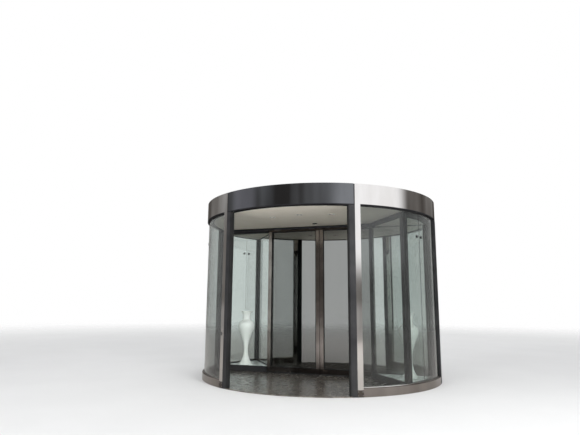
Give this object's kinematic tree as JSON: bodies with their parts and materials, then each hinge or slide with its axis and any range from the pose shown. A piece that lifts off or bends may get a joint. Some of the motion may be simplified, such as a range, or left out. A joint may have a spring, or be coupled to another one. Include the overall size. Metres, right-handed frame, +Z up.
{
  "type": "automatic revolving door",
  "caption": "Round automatic revolving door: a glass drum with a mirror-finished header, a turning rotor with display cases, and sliding glass leaves between them.",
  "frame": {"origin": "centre of the drum, on the ground under the floor disc", "axes": "+Z up along the rotor's axis, +X along the building front to the right seen from outside, -Y out of the building and +Y into it"},
  "size_m": [3.7, 3.7, 2.7],
  "materials": {
    "granite": "polished",
    "mirror_steel": "mirror polished",
    "clear_glass": "clear",
    "black_aluminium": "satin",
    "black_rubber": "matte",
    "structural_steel": "plain",
    "white_panel": "satin",
    "lamp_trim": "satin",
    "black_plastic": "matte",
    "satin_steel": "satin",
    "white_glaze": "glossy"
  },
  "bodies": {
    "drum": {"floor_disc": "granite", "thresholds": "granite", "base_ring_left": "mirror_steel", "base_ring_right": "mirror_steel", "wall_glass_left": "clear_glass", "wall_glass_right": "clear_glass", "facade_posts": "black_aluminium", "jambs_front": "black_aluminium", "jambs_back": "black_aluminium", "safety_edges": "black_rubber", "post_strips_front": "mirror_steel", "post_strips_back": "mirror_steel", "post_feet": "mirror_steel", "header_bands": "mirror_steel", "header_sides": "mirror_steel", "soffit_ring": "black_aluminium", "track_ring": "structural_steel", "roof_deck": "white_panel"},
    "rotor": {"rotor_ring": "structural_steel", "rotor_rollers": "structural_steel", "rotor_ceiling": "white_panel", "downlights": "lamp_trim", "leaf_sensors": "black_plastic", "leaf_track": "black_aluminium", "display_vases": "white_glaze", "left_case_base_rail": "black_aluminium", "right_case_base_rail": "black_aluminium", "left_case_floor": "white_panel", "right_case_floor": "white_panel", "left_case_top_rail": "black_aluminium", "right_case_top_rail": "black_aluminium", "left_case_ceiling": "white_panel", "right_case_ceiling": "white_panel", "left_case_posts": "black_aluminium", "right_case_posts": "black_aluminium", "left_case_glass": "clear_glass", "right_case_glass": "clear_glass", "left_case_seals": "black_rubber", "right_case_seals": "black_rubber"},
    "left_leaf": {"left_leaf_frame": "satin_steel", "left_leaf_glass": "clear_glass", "left_leaf_hangers": "structural_steel"},
    "right_leaf": {"right_leaf_frame": "satin_steel", "right_leaf_glass": "clear_glass", "right_leaf_hangers": "structural_steel"}
  },
  "joints": [
    {"name": "rotor_spin", "type": "hinge", "parent": "drum", "child": "rotor", "pos_m": [0, 0, 2.5443], "axis": [0, 0, 1], "continuous": true},
    {"name": "left_leaf_slide", "type": "slide", "parent": "rotor", "child": "left_leaf", "axis": [-1, 0, 0], "range_m": [0, 0.82]},
    {"name": "right_leaf_slide", "type": "slide", "parent": "rotor", "child": "right_leaf", "axis": [1, 0, 0], "range_m": [0, 0.82]}
  ],
  "couplings": [
    {"joint": "right_leaf_slide", "follows": "left_leaf_slide", "ratio": 1}
  ]
}
